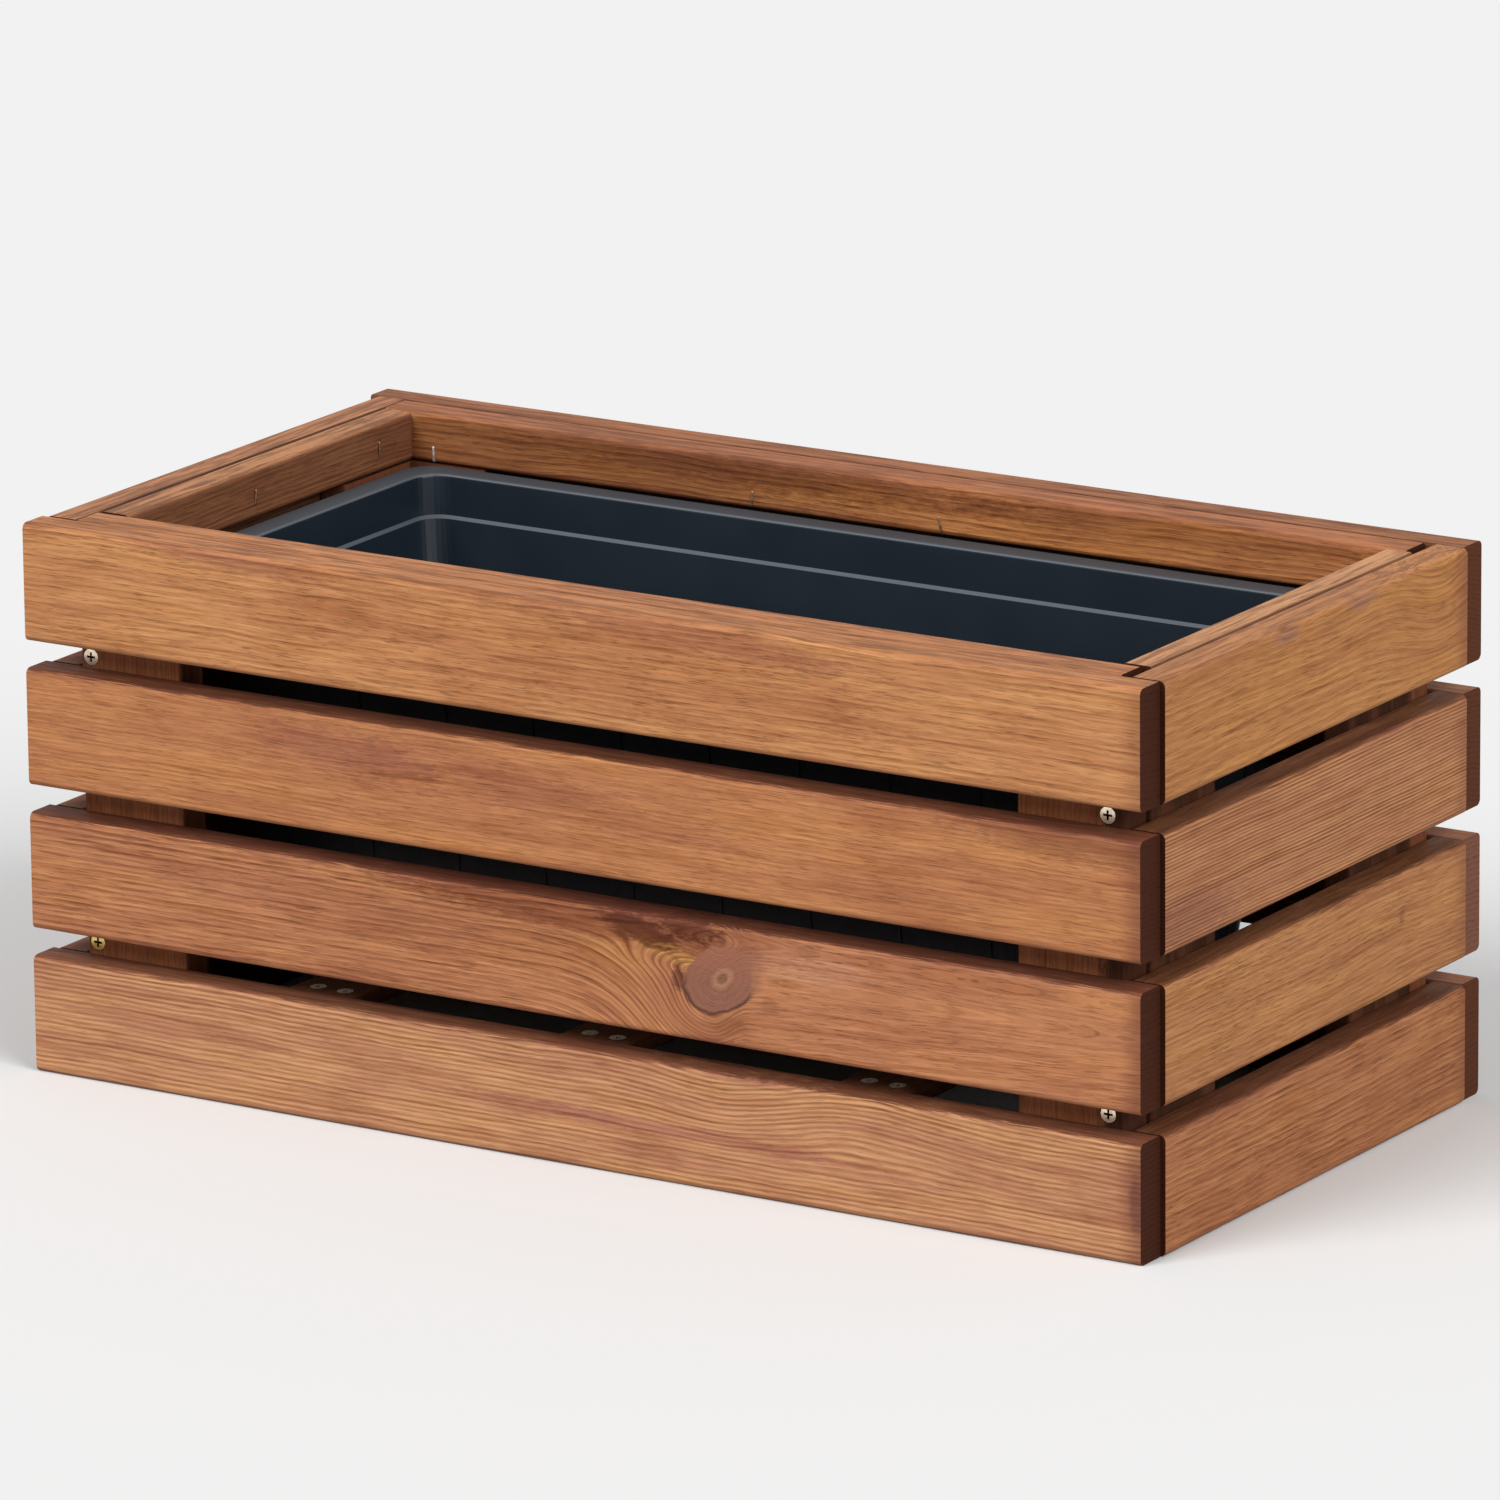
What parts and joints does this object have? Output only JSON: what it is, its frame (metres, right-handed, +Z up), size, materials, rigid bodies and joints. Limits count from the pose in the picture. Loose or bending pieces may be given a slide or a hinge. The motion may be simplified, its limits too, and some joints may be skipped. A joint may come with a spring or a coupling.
{
  "type": "wooden window box",
  "caption": "Rectangular slatted wooden window box with screwed corner battens, top rails, floor slats and a lift-out moulded plastic liner with fluted tapered walls.",
  "frame": {"origin": "on the ground, under the middle of the whole box", "axes": "+X along the length to the right as seen from the front, the front faces -Y, +Z up"},
  "size_m": [0.6044, 0.31, 0.265],
  "materials": {
    "board_wood": "planed pine, warm brown stain, satin",
    "frame_wood": "planed pine, warm brown stain, satin",
    "floor_wood": "planed pine, brown stain, matt",
    "liner_plastic": "moulded, satin, anthracite",
    "screw_steel": "zinc plated",
    "screw_brassed": "yellow zinc plated"
  },
  "bodies": {
    "crate": {"front_board_1": "board_wood", "front_board_2": "board_wood", "front_board_3": "board_wood", "front_board_4": "board_wood", "back_board_1": "board_wood", "back_board_2": "board_wood", "back_board_3": "board_wood", "back_board_4": "board_wood", "left_board_1": "board_wood", "left_board_2": "board_wood", "left_board_3": "board_wood", "left_board_4": "board_wood", "right_board_1": "board_wood", "right_board_2": "board_wood", "right_board_3": "board_wood", "right_board_4": "board_wood", "front_top_rail": "frame_wood", "back_top_rail": "frame_wood", "left_top_rail": "frame_wood", "right_top_rail": "frame_wood", "front_left_batten": "frame_wood", "front_right_batten": "frame_wood", "back_left_batten": "frame_wood", "back_right_batten": "frame_wood", "left_front_batten": "frame_wood", "left_back_batten": "frame_wood", "right_front_batten": "frame_wood", "right_back_batten": "frame_wood", "front_ledger": "floor_wood", "back_ledger": "floor_wood", "floor_slat_1": "floor_wood", "floor_slat_2": "floor_wood", "floor_slat_3": "floor_wood", "front_left_screw_upper": "screw_steel", "front_left_screw_lower": "screw_brassed", "front_right_screw_upper": "screw_steel", "front_right_screw_lower": "screw_steel", "back_left_screw_upper": "screw_steel", "back_left_screw_lower": "screw_brassed", "back_right_screw_upper": "screw_steel", "back_right_screw_lower": "screw_steel", "slat_1_screw_front_left": "screw_steel", "slat_1_screw_front_right": "screw_steel", "slat_1_screw_back_left": "screw_steel", "slat_1_screw_back_right": "screw_steel", "slat_2_screw_front_left": "screw_steel", "slat_2_screw_front_right": "screw_steel", "slat_2_screw_back_left": "screw_steel", "slat_2_screw_back_right": "screw_steel", "slat_3_screw_front_left": "screw_steel", "slat_3_screw_front_right": "screw_steel", "slat_3_screw_back_left": "screw_steel", "slat_3_screw_back_right": "screw_steel"},
    "liner": {"liner": "liner_plastic"}
  },
  "joints": [
    {"name": "liner_lift", "type": "slide", "parent": "crate", "child": "liner", "axis": [0, 0, 1], "range_m": [0, 0.22]}
  ]
}
